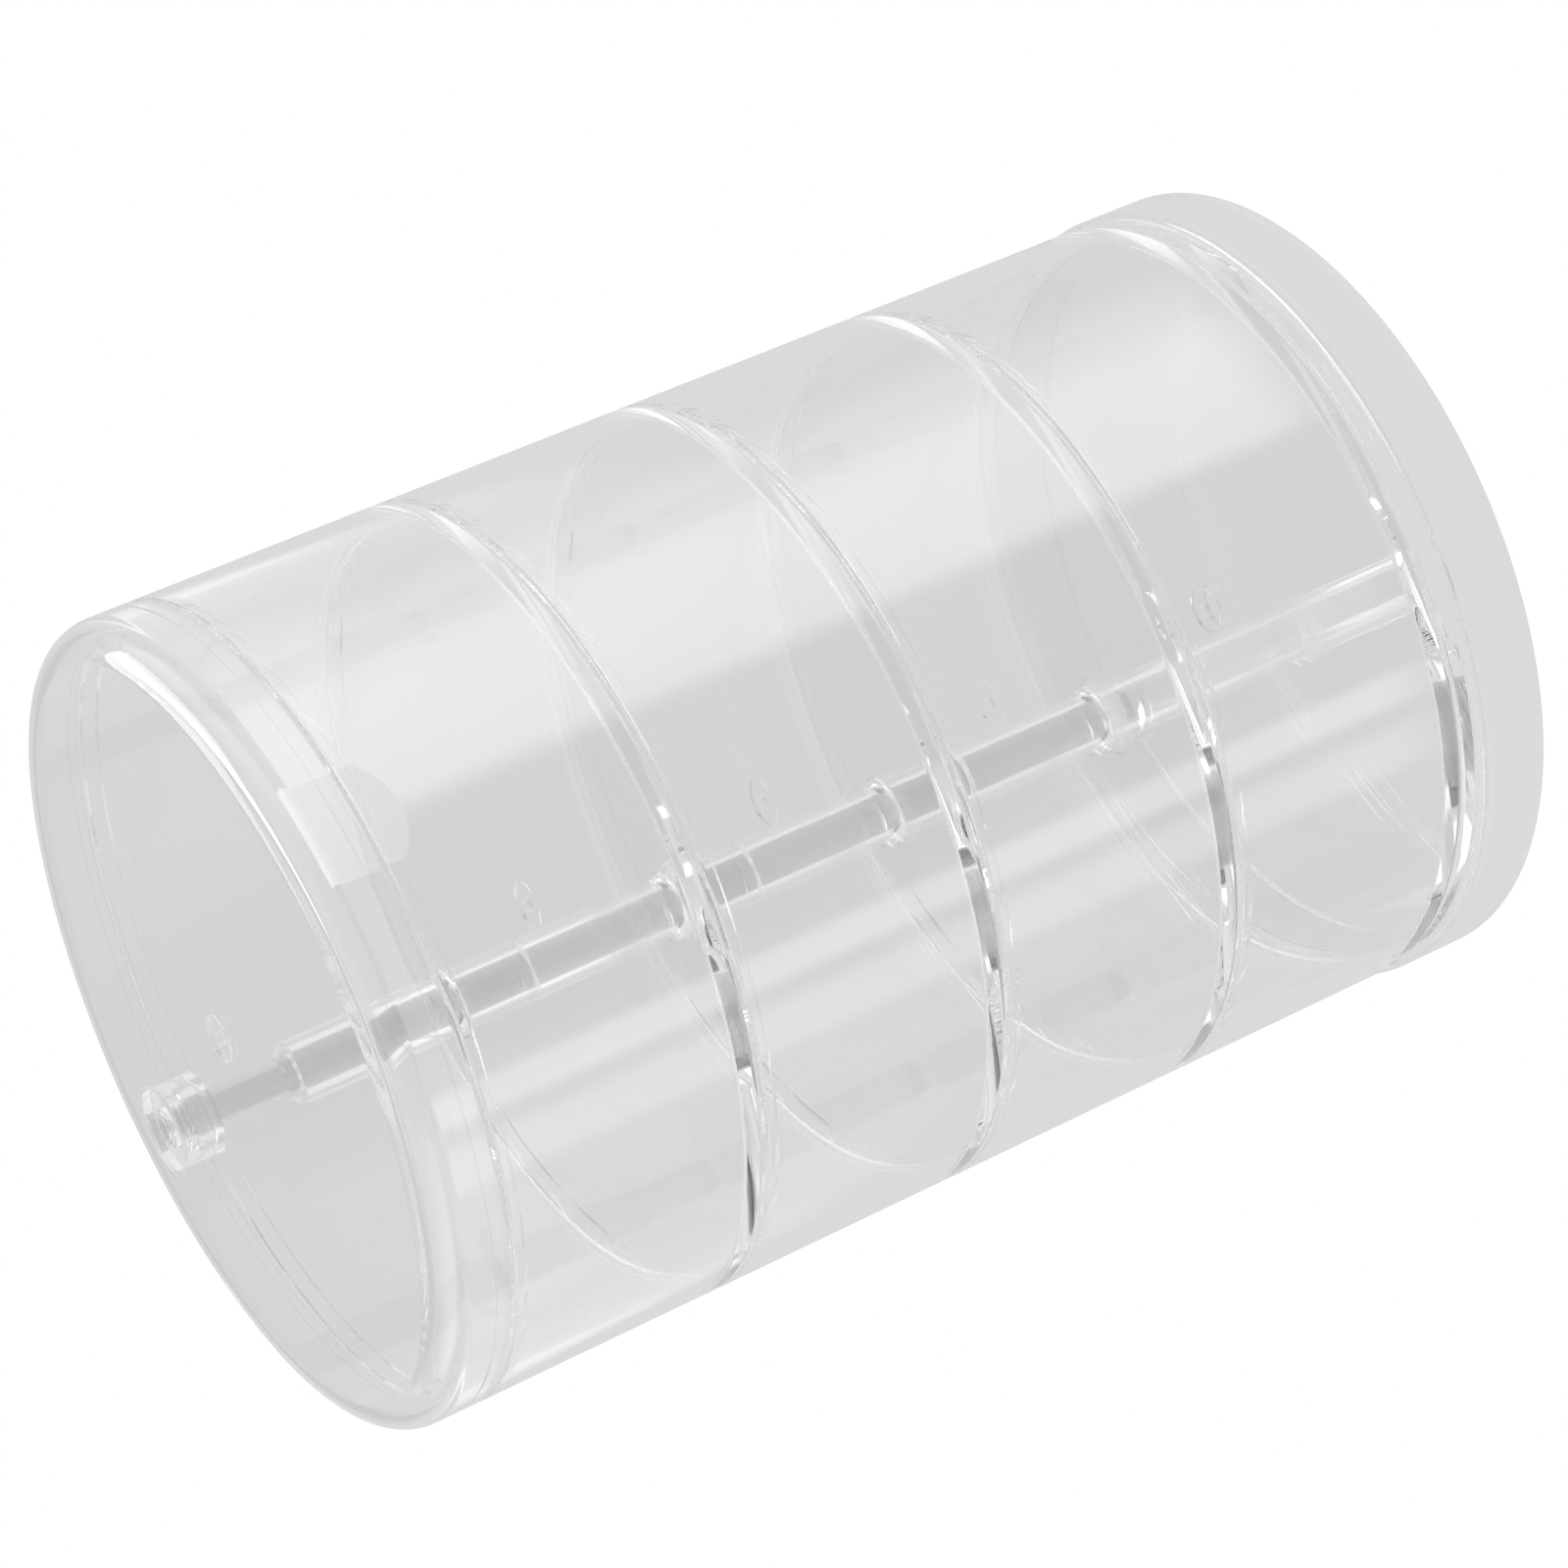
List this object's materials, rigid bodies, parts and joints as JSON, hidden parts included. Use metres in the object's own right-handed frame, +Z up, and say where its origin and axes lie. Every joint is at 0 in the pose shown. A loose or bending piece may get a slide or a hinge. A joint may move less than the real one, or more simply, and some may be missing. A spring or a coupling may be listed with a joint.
{
  "type": "queen cage",
  "caption": "Clear swivel-stack queen cage: round cup trays with a shallow lid and a base, which swing out sideways on one rod through their hub tubes.",
  "frame": {"origin": "centre of the base's underside", "axes": "+Z up through the stack, +Y towards the rod at the back, -Y the side away from the rod"},
  "size_m": [0.0808, 0.0808, 0.122],
  "materials": {
    "base": "clear moulded polystyrene",
    "lid": "clear moulded polystyrene",
    "tray": "clear moulded polystyrene",
    "rod": "clear drawn acrylic",
    "spacer": "clear extruded acrylic"
  },
  "bodies": {
    "stand": {"base": "base", "pivot_rod": "rod", "spacer_1": "spacer", "spacer_2": "spacer", "spacer_3": "spacer"},
    "tray_1": {"tray_1": "tray"},
    "tray_2": {"tray_2": "tray"},
    "tray_3": {"tray_3": "tray"},
    "tray_4": {"tray_4": "tray"},
    "lid": {"lid": "lid"}
  },
  "joints": [
    {"name": "lid_swing", "type": "hinge", "parent": "stand", "child": "lid", "pos_m": [0, 0.0304, 0.1176], "axis": [0, 0, 1], "continuous": true},
    {"name": "tray_1_swing", "type": "hinge", "parent": "stand", "child": "tray_1", "pos_m": [0, 0.0304, 0.0974], "axis": [0, 0, 1], "continuous": true},
    {"name": "tray_2_swing", "type": "hinge", "parent": "stand", "child": "tray_2", "pos_m": [0, 0.0304, 0.0712], "axis": [0, 0, 1], "continuous": true},
    {"name": "tray_3_swing", "type": "hinge", "parent": "stand", "child": "tray_3", "pos_m": [0, 0.0304, 0.045], "axis": [0, 0, 1], "continuous": true},
    {"name": "tray_4_swing", "type": "hinge", "parent": "stand", "child": "tray_4", "pos_m": [0, 0.0304, 0.0188], "axis": [0, 0, 1], "continuous": true}
  ]
}
